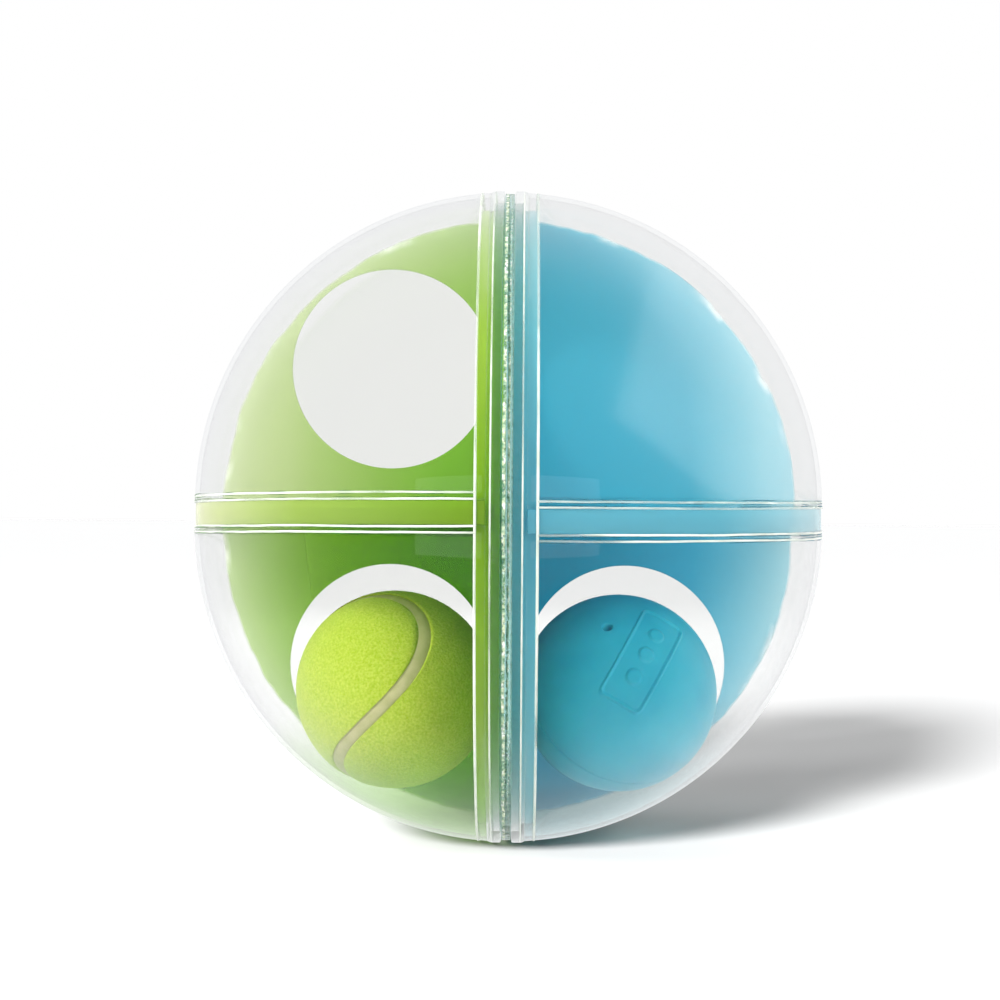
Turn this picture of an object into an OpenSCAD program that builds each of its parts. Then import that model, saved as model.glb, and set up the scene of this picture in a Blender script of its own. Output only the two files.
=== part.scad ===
// A clear two-part puzzle sphere with tinted dividers and a tennis ball and a rubber ball inside.
// The sphere's centre is the origin, +X points to the blue half and +Z points up.
// The green half is at -X. The two halves meet on a frosted ring whose axis is X.

/* [Sphere] */
// Outer radius of each dome
dome_r = 109; // [106:1:112]
// Wall thickness of the clear shells
shell_wall = 1.5; // [1.2:0.1:1.6]
// Half of the height of the tinted band between the upper and lower shells
band_half = 3.75; // [3.5:0.25:4.5]
// Width of the raised edge along each shell's band side
edge_rib_w = 2.4; // [1.5:0.1:3]
// Height of the raised ribs over the dome
rib_h = 0.25; // [0.1:0.05:0.5]
// How far each half is turned about X, in opposite senses, as the sphere stands
rest_twist = 0.7; // [0:0.1:2]

/* [Seam] */
// Outer radius of the clear collars
collar_r = 113.1; // [112.9:0.1:114]
// Radial clearance between the ring's legs and the collars
ring_clearance = 0.08; // [0.05:0.01:0.1]
// Half of the width of the frosted ring as it shows between the collars
ring_half_w = 1.55; // [1.2:0.05:1.7]

/* [Dividers] */
// Thickness of the seam walls
wall_t = 2; // [1.5:0.5:2.5]
// Thickness of the mid panels and of the shelves
panel_t = 2.5; // [1.5:0.5:2.5]
// Outline radius of the mid panels, from the centre of their dome
panel_r = 100.5; // [100:0.5:100.5]
// Radius of every port that a ball passes through
port_r = 35; // [34:0.5:35]

/* [Balls] */
// Radius of the tennis ball and of the rubber ball
ball_r = 33; // [32:0.25:33]
// Thickness of the felt
felt_t = 3; // [2:0.5:3.5]
// Wall of the tennis ball's rubber core
core_wall = 3.5; // [3:0.25:4.5]
// Wall of the rubber ball
rubber_wall = 4.5; // [3:0.5:6]

/* [Hidden] */
$fn = 128;

GREEN = -1;
BLUE = 1;
clear_tint = [0.93, 0.95, 0.96, 0.35];
green_tint = [0.55, 0.78, 0.25, 0.85];
blue_tint = [0.35, 0.68, 0.82, 0.85];

// Faces along X, counted from the seam plane outwards
seam_face = 1.85;
flange_end = 5.2;
collar_end = 6.4;
wall_rim_end = 9.5;
wall_face = seam_face + wall_t;
bead_start = 9;
bead_end = 10;

// Radii about X at the seam, from the inside out
wall_rim_in = 104.3;
wall_rim_out = 106.5;
ring_leg_in = 107.2;
ring_leg_out = 109.2 - ring_clearance;
collar_bore = 109.2;
collar_shoulder = 112.6;
ring_out = 112.3;
collar_chamfer = 0.4;
ring_leg_end = flange_end - 0.3;

// Shelf rim, about Z
shelf_rim_in = 107;
shelf_rim_out = dome_r - 0.3;
shelf_neck = wall_rim_in - 0.1;

// Ports in the mid panels, and the three passages in each seam wall
port_x = 41.2;
port_z = 51.8;
passage_y = 42;
passage_z = 50;
passages = [[-1, 1], [1, 1], [1, -1]];

// Where each ball rests in its lower front cell
ball_x = 37.5;
ball_y = -33.4;
ball_z = -58.4;

// Tennis ball seam: a closed curve on the sphere that divides it into two equal panels.
// The felt and the seam lie on a film of cement over the core.
seam_b = 0.26;
seam_a = 1 - seam_b;
seam_c = 2 * sqrt(seam_a * seam_b);
seam_turn = [17, 44, 2];
seam_w = 4.2;
seam_recess = 0.5;
seam_gap = 0.1;
cement_t = 0.55;
felt_in = ball_r - felt_t + cement_t;
seam_points = 72;
panel_rings = 9;

// Rubber ball: its pole faces the badge side, and the squeaker sits under its hole
pole_turn = [0, 60, -66];
squeak_turn = [0, 44.5, -101.6];
squeak_hole_r = 1.2;
squeaker_r = 6;
squeaker_bore_r = 3;
squeaker_h = 9;
squeaker_top = ball_r - rubber_wall - 0.8;
reed_l = 5.6;
reed_w = 2;
reed_h = 5;

reach = 260;

function seam_dir(t) = [
  seam_a * cos(t) + seam_b * cos(3 * t),
  seam_a * sin(t) - seam_b * sin(3 * t),
  seam_c * sin(2 * t)
];
function unit(v) = v / norm(v);

// The direction along the seam, and the direction across it on the sphere
function seam_along(t) = unit(seam_dir(t + 1) - seam_dir(t - 1));
function seam_across(t) = unit(cross(seam_along(t), seam_dir(t)));

// A point on the seam's edge, moved across the ball's surface by off millimetres
function seam_edge(t, off) = unit(seam_dir(t) + seam_across(t) * off / ball_r);

// A direction part of the way along the arc from a to b
function arc_between(a, b, part) =
  let (angle = acos(a * b))
  (a * sin((1 - part) * angle) + b * sin(part * angle)) / sin(angle);

// One half of the sphere is drawn at +X, and the green half is its mirror image
module place(side) {
  rotate([side * rest_twist, 0, 0])
    mirror([side < 0 ? 1 : 0, 0, 0])
      children();
}

// A solid of revolution about X, from a profile of [radius, x] points
module about_x(profile) {
  rotate([0, 90, 0])
    rotate_extrude()
      polygon(profile);
}

module disc_y(radius, thickness, x, z) {
  translate([x, thickness / 2, z])
    rotate([90, 0, 0])
      cylinder(r = radius, h = thickness);
}

module disc_x(radius, thickness, x, y, z) {
  translate([x, y, z])
    rotate([0, 90, 0])
      cylinder(r = radius, h = thickness);
}

// The space beyond x, above z
module corner_block(x, z, height) {
  translate([x, -reach / 2, z])
    cube([reach / 2, reach, height]);
}

// A clear quarter shell, from the collar to the pole, with a raised edge and a bead
module quarter_shell() {
  color(clear_tint)
    difference() {
      union() {
        intersection() {
          translate([0, 0, band_half])
            sphere(r = dome_r);
          corner_block(collar_end, band_half, reach);
        }
        intersection() {
          translate([0, 0, band_half])
            sphere(r = dome_r + rib_h);
          union() {
            corner_block(collar_end, band_half, edge_rib_w);
            translate([bead_start, -reach / 2, band_half])
              cube([bead_end - bead_start, reach, reach]);
          }
        }
      }
      translate([0, 0, band_half])
        sphere(r = dome_r - shell_wall);
    }
}

// The clear collar that both shells and the seam wall are bonded to
module collar() {
  color(clear_tint)
    about_x([
      [wall_rim_out, flange_end],
      [collar_bore, flange_end],
      [collar_bore, seam_face],
      [collar_r - collar_chamfer, seam_face],
      [collar_r, seam_face + collar_chamfer],
      [collar_r, flange_end],
      [collar_shoulder, collar_end],
      [wall_rim_out, collar_end]
    ]);
}

// The tinted wall at the seam: a shallow pan with three ball passages
module seam_wall(tint) {
  color(tint)
    difference() {
      about_x([
        [0, seam_face],
        [wall_rim_out, seam_face],
        [wall_rim_out, wall_rim_end],
        [wall_rim_in, wall_rim_end],
        [wall_rim_in, wall_face],
        [0, wall_face]
      ]);
      for (at = passages)
        disc_x(port_r, 3 * wall_t, seam_face - wall_t, at[0] * passage_y, at[1] * passage_z);
    }
}

// The tinted shelf between the upper and lower cells, with the band as its rim
module shelf(tint) {
  color(tint)
    union() {
      intersection() {
        cylinder(r = shelf_rim_in + 0.5, h = panel_t, center = true);
        corner_block(wall_rim_end + 0.1, -panel_t / 2, panel_t);
      }
      translate([wall_face, -shelf_neck, -panel_t / 2])
        cube([wall_rim_end + 1 - wall_face, 2 * shelf_neck, panel_t]);
      difference() {
        intersection() {
          cylinder(r = shelf_rim_out, h = 2 * band_half, center = true);
          corner_block(collar_end, -band_half, 2 * band_half);
        }
        cylinder(r = shelf_rim_in, h = 3 * band_half, center = true);
      }
    }
}

// A tinted quarter panel on the mid plane, standing on the shelf and against the seam wall
module mid_panel(tint, has_port) {
  color(tint)
    difference() {
      intersection() {
        disc_y(panel_r, panel_t, 0, band_half);
        corner_block(wall_face, panel_t / 2, reach);
      }
      if (has_port)
        disc_y(port_r, 3 * panel_t, port_x, port_z);
    }
}

// The frosted ring that joins the halves: an outer flange with a leg on each side
module ring() {
  color([0.86, 0.9, 0.88, 0.9])
    about_x([
      [ring_leg_in, -ring_leg_end],
      [ring_leg_out, -ring_leg_end],
      [ring_leg_out, -ring_half_w],
      [ring_out, -ring_half_w],
      [ring_out, ring_half_w],
      [ring_leg_out, ring_half_w],
      [ring_leg_out, ring_leg_end],
      [ring_leg_in, ring_leg_end]
    ]);
}

// Puts a ball, modelled about its own centre, at rest in the lower front cell of one half
module ball_place(side) {
  rotate([side * rest_twist, 0, 0])
    translate([side * ball_x, ball_y, ball_z])
      children();
}

// One half of a hollow ball, cut at its own z = 0 and kept on the +Z side
module half_ball(outer_r, wall) {
  difference() {
    intersection() {
      sphere(r = outer_r);
      translate([-outer_r, -outer_r, 0])
        cube([2 * outer_r, 2 * outer_r, outer_r]);
    }
    sphere(r = outer_r - wall);
  }
}

module tennis_core_half(flip) {
  color([0.35, 0.33, 0.3])
    ball_place(GREEN)
      rotate([flip ? 270 : 90, 0, 0])
        half_ball(ball_r - felt_t, core_wall);
}

// One felt panel: rings of points from the panel's centre out to the seam, on two spheres
module felt_panel(which) {
  turn = which == 0 ? 1 : -1;
  centre = [0, 0, turn];
  off = -turn * seam_w / 2;
  radii = [felt_in, ball_r];
  n = seam_points;
  edge = [for (i = [0:n - 1]) seam_edge(turn * 360 * i / n, off)];
  shell = [
    for (k = [0:1])
      for (ring = [1:panel_rings])
        for (p = edge)
          radii[k] * arc_between(centre, p, ring / panel_rings)
  ];
  points = concat([radii[0] * centre, radii[1] * centre], shell);
  faces = concat(
    [for (i = [0:n - 1]) [0, at(0, 1, i), at(0, 1, i + 1)]],
    [for (i = [0:n - 1]) [1, at(1, 1, i + 1), at(1, 1, i)]],
    [for (r = [1:panel_rings - 1]) for (i = [0:n - 1])
      each [[at(0, r, i), at(0, r + 1, i), at(0, r + 1, i + 1)],
            [at(0, r, i), at(0, r + 1, i + 1), at(0, r, i + 1)]]],
    [for (r = [1:panel_rings - 1]) for (i = [0:n - 1])
      each [[at(1, r, i), at(1, r + 1, i + 1), at(1, r + 1, i)],
            [at(1, r, i), at(1, r, i + 1), at(1, r + 1, i + 1)]]],
    [for (i = [0:n - 1])
      each [[at(0, panel_rings, i), at(1, panel_rings, i), at(1, panel_rings, i + 1)],
            [at(0, panel_rings, i), at(1, panel_rings, i + 1), at(0, panel_rings, i + 1)]]]
  );
  color([0.78, 0.9, 0.32])
    ball_place(GREEN)
      rotate(seam_turn)
        polyhedron(points, faces);
}

// Index of a felt panel's point: sphere k, ring, and place round the seam
function at(k, ring, i) =
  2 + (k * panel_rings + ring - 1) * seam_points + i % seam_points;
function at4(i, j) = 4 * (i % seam_points) + j;

// The rubber strip between the felt panels, a little below their surface
module seam_strip() {
  n = seam_points;
  low = felt_in;
  high = ball_r - seam_recess;
  half = seam_w / 2 - seam_gap;
  points = [
    for (i = [0:n - 1])
      let (t = 360 * i / n)
      each [low * seam_edge(t, -half), low * seam_edge(t, half),
            high * seam_edge(t, half), high * seam_edge(t, -half)]
  ];
  faces = [
    for (i = [0:n - 1])
      for (j = [0:3])
        each [[at4(i, j), at4(i, (j + 1) % 4), at4(i + 1, (j + 1) % 4)],
              [at4(i, j), at4(i + 1, (j + 1) % 4), at4(i + 1, j)]]
  ];
  color([0.75, 0.76, 0.62])
    ball_place(GREEN)
      rotate(seam_turn)
        polyhedron(points, faces);
}

// The squeaker's bore runs through the front half of the rubber ball
module squeak_bore(radius) {
  rotate(squeak_turn)
    cylinder(r = radius, h = 2 * ball_r);
}

module rubber_front() {
  color([0.28, 0.64, 0.76])
    ball_place(BLUE)
      difference() {
        rotate(pole_turn)
          half_ball(ball_r, rubber_wall);
        squeak_bore(squeak_hole_r);
      }
}

module rubber_back() {
  color([0.26, 0.6, 0.73])
    ball_place(BLUE)
      rotate(pole_turn)
        mirror([0, 0, 1])
          half_ball(ball_r, rubber_wall);
}

// The squeaker hangs under its hole, on the inside of the rubber wall
module squeaker() {
  color("whitesmoke")
    ball_place(BLUE)
      rotate(squeak_turn)
        difference() {
          translate([0, 0, squeaker_top - squeaker_h])
            cylinder(r = squeaker_r, h = squeaker_h);
          translate([0, 0, squeaker_top - squeaker_h - 1])
            cylinder(r = squeaker_bore_r, h = squeaker_h + 2);
        }
}

module reed() {
  color("gainsboro")
    ball_place(BLUE)
      rotate(squeak_turn)
        translate([-reed_l / 2, -reed_w / 2, squeaker_top - squeaker_h])
          cube([reed_l, reed_w, reed_h]);
}

place(GREEN) collar();  // green_collar
place(GREEN) quarter_shell();  // green_upper_shell
place(GREEN) mirror([0, 0, 1]) quarter_shell();  // green_lower_shell
place(GREEN) seam_wall(green_tint);  // green_seam_wall
place(GREEN) shelf(green_tint);  // green_shelf
place(GREEN) mid_panel(green_tint, true);  // green_upper_panel
place(GREEN) mirror([0, 0, 1]) mid_panel(green_tint, true);  // green_lower_panel
place(BLUE) collar();  // blue_collar
place(BLUE) quarter_shell();  // blue_upper_shell
place(BLUE) mirror([0, 0, 1]) quarter_shell();  // blue_lower_shell
place(BLUE) seam_wall(blue_tint);  // blue_seam_wall
place(BLUE) shelf(blue_tint);  // blue_shelf
place(BLUE) mid_panel(blue_tint, false);  // blue_upper_panel
place(BLUE) mirror([0, 0, 1]) mid_panel(blue_tint, true);  // blue_lower_panel
ring();  // seam_ring
tennis_core_half(false);  // tennis_core_front
tennis_core_half(true);  // tennis_core_back
felt_panel(0);  // felt_panel_a
felt_panel(1);  // felt_panel_b
seam_strip();  // felt_seam
rubber_front();  // rubber_ball_front
rubber_back();  // rubber_ball_back
squeaker();  // squeaker_body
reed();  // squeaker_reed
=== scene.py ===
"""Looks for the puzzle sphere: clear shells, tinted dividers, a felt tennis ball and a rubber squeak ball."""

import math

import bmesh
import bpy
import numpy as np
from mathutils import Matrix, Vector, noise

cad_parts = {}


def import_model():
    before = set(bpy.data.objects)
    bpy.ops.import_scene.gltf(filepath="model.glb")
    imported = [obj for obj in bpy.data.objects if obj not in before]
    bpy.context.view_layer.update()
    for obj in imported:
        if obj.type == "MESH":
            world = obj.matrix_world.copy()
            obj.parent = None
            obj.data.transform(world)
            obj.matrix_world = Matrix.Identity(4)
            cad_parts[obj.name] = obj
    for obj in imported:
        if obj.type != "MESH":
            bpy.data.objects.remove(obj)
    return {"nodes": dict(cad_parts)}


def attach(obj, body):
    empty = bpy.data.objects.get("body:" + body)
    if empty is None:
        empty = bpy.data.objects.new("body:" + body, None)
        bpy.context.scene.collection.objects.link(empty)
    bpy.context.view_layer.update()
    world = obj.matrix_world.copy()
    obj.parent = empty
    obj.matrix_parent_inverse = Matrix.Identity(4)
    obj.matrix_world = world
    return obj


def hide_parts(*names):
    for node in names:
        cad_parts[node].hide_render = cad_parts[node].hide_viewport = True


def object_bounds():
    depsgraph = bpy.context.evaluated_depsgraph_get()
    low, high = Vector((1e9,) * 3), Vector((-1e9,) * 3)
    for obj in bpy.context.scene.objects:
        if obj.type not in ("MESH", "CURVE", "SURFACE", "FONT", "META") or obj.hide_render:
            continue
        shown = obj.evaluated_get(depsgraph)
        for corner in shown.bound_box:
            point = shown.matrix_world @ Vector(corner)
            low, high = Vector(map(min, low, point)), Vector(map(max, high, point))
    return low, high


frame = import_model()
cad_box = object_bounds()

MM = 0.001
GREEN, BLUE = -1, 1
HALF = {GREEN: "green", BLUE: "blue"}

# Sizes of the CAD model, in metres
DOME_R = 109 * MM
SHELL_WALL = 1.5 * MM
BAND_HALF = 3.75 * MM
EDGE_RIB_W = 2.4 * MM
COLLAR_R = 113.1 * MM
COLLAR_SHOULDER = 112.6 * MM
COLLAR_BORE = 109.2 * MM
SEAM_FACE = 1.85 * MM
FLANGE_END = 5.2 * MM
COLLAR_END = 6.4 * MM
WALL_T = 2 * MM
WALL_RIM_IN = 104.3 * MM
WALL_RIM_OUT = 106.5 * MM
WALL_RIM_END = 9.5 * MM
PANEL_T = 2.5 * MM
PANEL_R = 100.5 * MM
PORT_R = 35 * MM
PORT_AT = (41.2 * MM, 51.8 * MM)
PASSAGE_AT = (42 * MM, 50 * MM)
SHELF_RIM_IN = 107 * MM
SHELF_RIM_OUT = 108.7 * MM
RING_LEG_IN = 107.2 * MM
RING_LEG_OUT = 109.1 * MM
RING_LEG_END = 4.9 * MM
RING_OUT = 112.3 * MM
RING_HALF_W = 1.55 * MM
REST_TWIST = math.radians(0.7)
BALL_R = 33 * MM
BALL_AT = (37.5 * MM, -33.4 * MM, -58.4 * MM)
FLOOR_Z = cad_box[0][2]


# ---------------------------------------------------------------- geometry helpers

def placed(side):
    """The matrix that takes a half, modelled at +X, to its place: mirrored if green, then twisted about X."""
    mirror = Matrix.Diagonal((side, 1, 1, 1))
    return Matrix.Rotation(side * REST_TWIST, 4, "X") @ mirror


def ball_frame(side):
    """The matrix that takes a ball, modelled about its own centre, to its rest in the lower front cell."""
    x, y, z = BALL_AT
    return Matrix.Rotation(side * REST_TWIST, 4, "X") @ Matrix.Translation((side * x, y, z))


def new_object(name, mesh, matrix=None):
    """Links a mesh as an object, with the matrix taken into its vertices and its normals facing out."""
    if matrix is not None:
        mesh.transform(matrix)
    bm = bmesh.new()
    bm.from_mesh(mesh)
    bmesh.ops.recalc_face_normals(bm, faces=bm.faces)
    bm.to_mesh(mesh)
    bm.free()
    obj = bpy.data.objects.new(name, mesh)
    bpy.context.scene.collection.objects.link(obj)
    return obj


def smooth(obj, angle=35):
    """Smooth shading, with edges sharper than the angle kept crisp."""
    obj.data.shade_smooth()
    obj.data.set_sharp_from_angle(angle=math.radians(angle))
    return obj


def mesh_from(name, verts, faces):
    mesh = bpy.data.meshes.new(name)
    mesh.from_pydata([tuple(v) for v in verts], [], faces)
    mesh.validate()
    return mesh


def rounded(points, radius, steps=4):
    """A closed outline with each corner replaced by a small curve."""
    out = []
    count = len(points)
    for i in range(count):
        before, corner, after = (np.array(points[(i + k) % count], float) for k in (-1, 0, 1))
        a_len, b_len = np.linalg.norm(before - corner), np.linalg.norm(after - corner)
        cut = min(radius, a_len * 0.45, b_len * 0.45)
        start = corner + (before - corner) / a_len * cut
        end = corner + (after - corner) / b_len * cut
        for k in range(steps + 1):
            t = k / steps
            out.append((1 - t) ** 2 * start + 2 * t * (1 - t) * corner + t * t * end)
    return out


def lathe_x(name, profile, segments=360):
    """A closed profile of (x, radius) points turned about X."""
    n = len(profile)
    verts = []
    for s in range(segments):
        angle = 2 * math.pi * s / segments
        c, d = math.cos(angle), math.sin(angle)
        verts += [(x, r * c, r * d) for x, r in profile]
    faces = [
        (s * n + i, s * n + (i + 1) % n, (s + 1) % segments * n + (i + 1) % n, (s + 1) % segments * n + i)
        for s in range(segments)
        for i in range(n)
    ]
    return mesh_from(name, verts, faces)


def sweep(name, path, closed, size, sides=10):
    """A round or oval bead along a path of (point, outward, sideways) frames. size is (outward, sideways)."""
    verts = []
    for point, outward, sideways in path:
        for k in range(sides):
            angle = 2 * math.pi * k / sides
            verts.append(
                Vector(point)
                + Vector(outward) * size[0] * math.cos(angle)
                + Vector(sideways) * size[1] * math.sin(angle)
            )
    count = len(path)
    spans = count if closed else count - 1
    faces = [
        (s * sides + k, s * sides + (k + 1) % sides,
         (s + 1) % count * sides + (k + 1) % sides, (s + 1) % count * sides + k)
        for s in range(spans)
        for k in range(sides)
    ]
    if not closed:
        faces.append(tuple(range(sides)))
        faces.append(tuple(range((count - 1) * sides, count * sides)))
    return mesh_from(name, verts, faces)


def joined(name, meshes, matrix=None):
    """One object from several meshes."""
    bm = bmesh.new()
    for mesh in meshes:
        bm.from_mesh(mesh)
        bpy.data.meshes.remove(mesh)
    mesh = bpy.data.meshes.new(name)
    bm.to_mesh(mesh)
    bm.free()
    return new_object(name, mesh, matrix)


def plate(name, outline, holes, thickness, bevel):
    """A flat plate in XY with rounded edges, from an outline and round holes (x, y, radius)."""
    curve = bpy.data.curves.new(name, "CURVE")
    curve.dimensions = "2D"
    curve.fill_mode = "BOTH"
    curve.extrude = thickness / 2 - bevel
    curve.bevel_depth = bevel
    curve.bevel_resolution = 3
    curve.offset = -bevel
    loops = [outline]
    for x, y, r in holes:
        loops.append([
            (x + r * math.cos(2 * math.pi * k / 160), y + r * math.sin(2 * math.pi * k / 160))
            for k in range(160)
        ])
    for loop in loops:
        spline = curve.splines.new("POLY")
        spline.points.add(len(loop) - 1)
        for point, (x, y) in zip(spline.points, loop):
            point.co = (x, y, 0, 1)
        spline.use_cyclic_u = True
    obj = bpy.data.objects.new(name, curve)
    bpy.context.scene.collection.objects.link(obj)
    bpy.context.view_layer.update()
    mesh = bpy.data.meshes.new_from_object(obj)
    bpy.data.objects.remove(obj)
    bpy.data.curves.remove(curve)
    bm = bmesh.new()
    bm.from_mesh(mesh)
    bmesh.ops.remove_doubles(bm, verts=bm.verts, dist=2e-6)
    bm.to_mesh(mesh)
    bm.free()
    return mesh


# ---------------------------------------------------------------- materials

WHITE_GLOSS = (0.98, 0.98, 0.98, 1)
EDGE_THROUGH = (0.97, 0.98, 0.97)


def material(name):
    mat = bpy.data.materials.new(name)
    mat.use_nodes = True
    nodes = mat.node_tree.nodes
    nodes.clear()
    out = nodes.new("ShaderNodeOutputMaterial")
    return mat, nodes, mat.node_tree.links, out


def noise_bump(nodes, links, scale, strength, distance, detail=4):
    """A Bump node driven by noise in the piece's own coordinates."""
    coords = nodes.new("ShaderNodeTexCoord")
    texture = nodes.new("ShaderNodeTexNoise")
    texture.inputs["Scale"].default_value = scale
    texture.inputs["Detail"].default_value = detail
    links.new(coords.outputs["Object"], texture.inputs["Vector"])
    bump = nodes.new("ShaderNodeBump")
    bump.inputs["Strength"].default_value = strength
    bump.inputs["Distance"].default_value = distance
    links.new(texture.outputs["Fac"], bump.inputs["Height"])
    return bump, texture


def facing_curve(nodes, links, power, low, high):
    """A value that runs from low, face on, to high, edge on."""
    weight = nodes.new("ShaderNodeLayerWeight")
    curve = nodes.new("ShaderNodeMath")
    curve.operation = "POWER"
    curve.inputs[1].default_value = power
    links.new(weight.outputs["Facing"], curve.inputs[0])
    spread = nodes.new("ShaderNodeMapRange")
    spread.inputs["To Min"].default_value = low
    spread.inputs["To Max"].default_value = high
    links.new(curve.outputs["Value"], spread.inputs["Value"])
    return spread.outputs["Result"]


def mix_shader(nodes, links, fac, first, second):
    """Mixes two shaders by a number or by an output."""
    mix = nodes.new("ShaderNodeMixShader")
    if isinstance(fac, (int, float)):
        mix.inputs["Fac"].default_value = fac
    else:
        links.new(fac, mix.inputs["Fac"])
    links.new(first, mix.inputs[1])
    links.new(second, mix.inputs[2])
    return mix.outputs["Shader"]


def see_through(nodes, colour):
    """A shader that only lets light of this colour through."""
    node = nodes.new("ShaderNodeBsdfTransparent")
    node.inputs["Color"].default_value = (*colour, 1)
    return node.outputs["BSDF"]


def ranged(nodes, links, value, low, high, to_low=0.0, to_high=1.0):
    """Maps low..high to to_low..to_high, and holds the ends."""
    node = nodes.new("ShaderNodeMapRange")
    node.interpolation_type = "SMOOTHSTEP"
    node.inputs["From Min"].default_value = low
    node.inputs["From Max"].default_value = high
    node.inputs["To Min"].default_value = to_low
    node.inputs["To Max"].default_value = to_high
    links.new(value, node.inputs["Value"])
    return node.outputs["Result"]


def math_node(nodes, links, operation, first, second=None):
    node = nodes.new("ShaderNodeMath")
    node.operation = operation
    for socket, value in zip(node.inputs, (first, second)):
        if isinstance(value, (int, float)):
            socket.default_value = value
        elif value is not None:
            links.new(value, socket)
    return node.outputs["Value"]


def noise_value(nodes, links, vector, scale, detail=3, stretch=None):
    """Noise over a vector, drawn out along the axes where stretch is small."""
    texture = nodes.new("ShaderNodeTexNoise")
    texture.inputs["Scale"].default_value = scale
    texture.inputs["Detail"].default_value = detail
    if stretch:
        scaled = nodes.new("ShaderNodeVectorMath")
        scaled.operation = "MULTIPLY"
        scaled.inputs[1].default_value = stretch
        links.new(vector, scaled.inputs[0])
        vector = scaled.outputs["Vector"]
    links.new(vector, texture.inputs["Vector"])
    return texture.outputs["Fac"]


def clear_plastic(name, through, edge_through, gloss, roughness, wave, painted_tint_light=None):
    """Thin clear plastic: see-through, with a mirror that grows edge on, and faint waves in what it mirrors.

    The optional last colour is painted tinted light that gathers low in a shell, standing in for the light of
    the tinted parts beside it.
    """
    mat, nodes, links, out = material(name)
    sheen = nodes.new("ShaderNodeBsdfGlossy")
    sheen.inputs["Color"].default_value = WHITE_GLOSS
    sheen.inputs["Roughness"].default_value = roughness
    bump, _ = noise_bump(nodes, links, 22, wave, 0.002, detail=2)
    links.new(bump.outputs["Normal"], sheen.inputs["Normal"])
    depth = facing_curve(nodes, links, 3, 0, 1)
    body = mix_shader(nodes, links, depth, see_through(nodes, through), see_through(nodes, edge_through))
    if painted_tint_light:
        # Painted tinted light, growing towards the bottom of the shell.
        coords = nodes.new("ShaderNodeTexCoord").outputs["Object"]
        parts = nodes.new("ShaderNodeSeparateXYZ")
        links.new(coords, parts.inputs["Vector"])
        ripple = noise_value(nodes, links, coords, 30, 3)
        ripple = math_node(nodes, links, "MULTIPLY", ripple, 14 * MM)
        low = math_node(nodes, links, "ADD", parts.outputs["Z"], ripple)
        low = ranged(nodes, links, low, -102 * MM, -60 * MM, 1.0, 0.0)
        body = mix_shader(nodes, links, low, body, see_through(nodes, painted_tint_light))
    mirror = facing_curve(nodes, links, 4, *gloss)
    links.new(mix_shader(nodes, links, mirror, body, sheen.outputs["BSDF"]), out.inputs["Surface"])
    return mat


def ramp_node(nodes, links, value, stops):
    """A colour ramp from (position, colour) stops."""
    ramp = nodes.new("ShaderNodeValToRGB")
    elements = ramp.color_ramp.elements
    while len(elements) < len(stops):
        elements.new(0.5)
    for element, (position, colour) in zip(elements, stops):
        element.position = position
        element.color = (*colour, 1)
    links.new(value, ramp.inputs["Fac"])
    return ramp.outputs["Color"]


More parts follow.
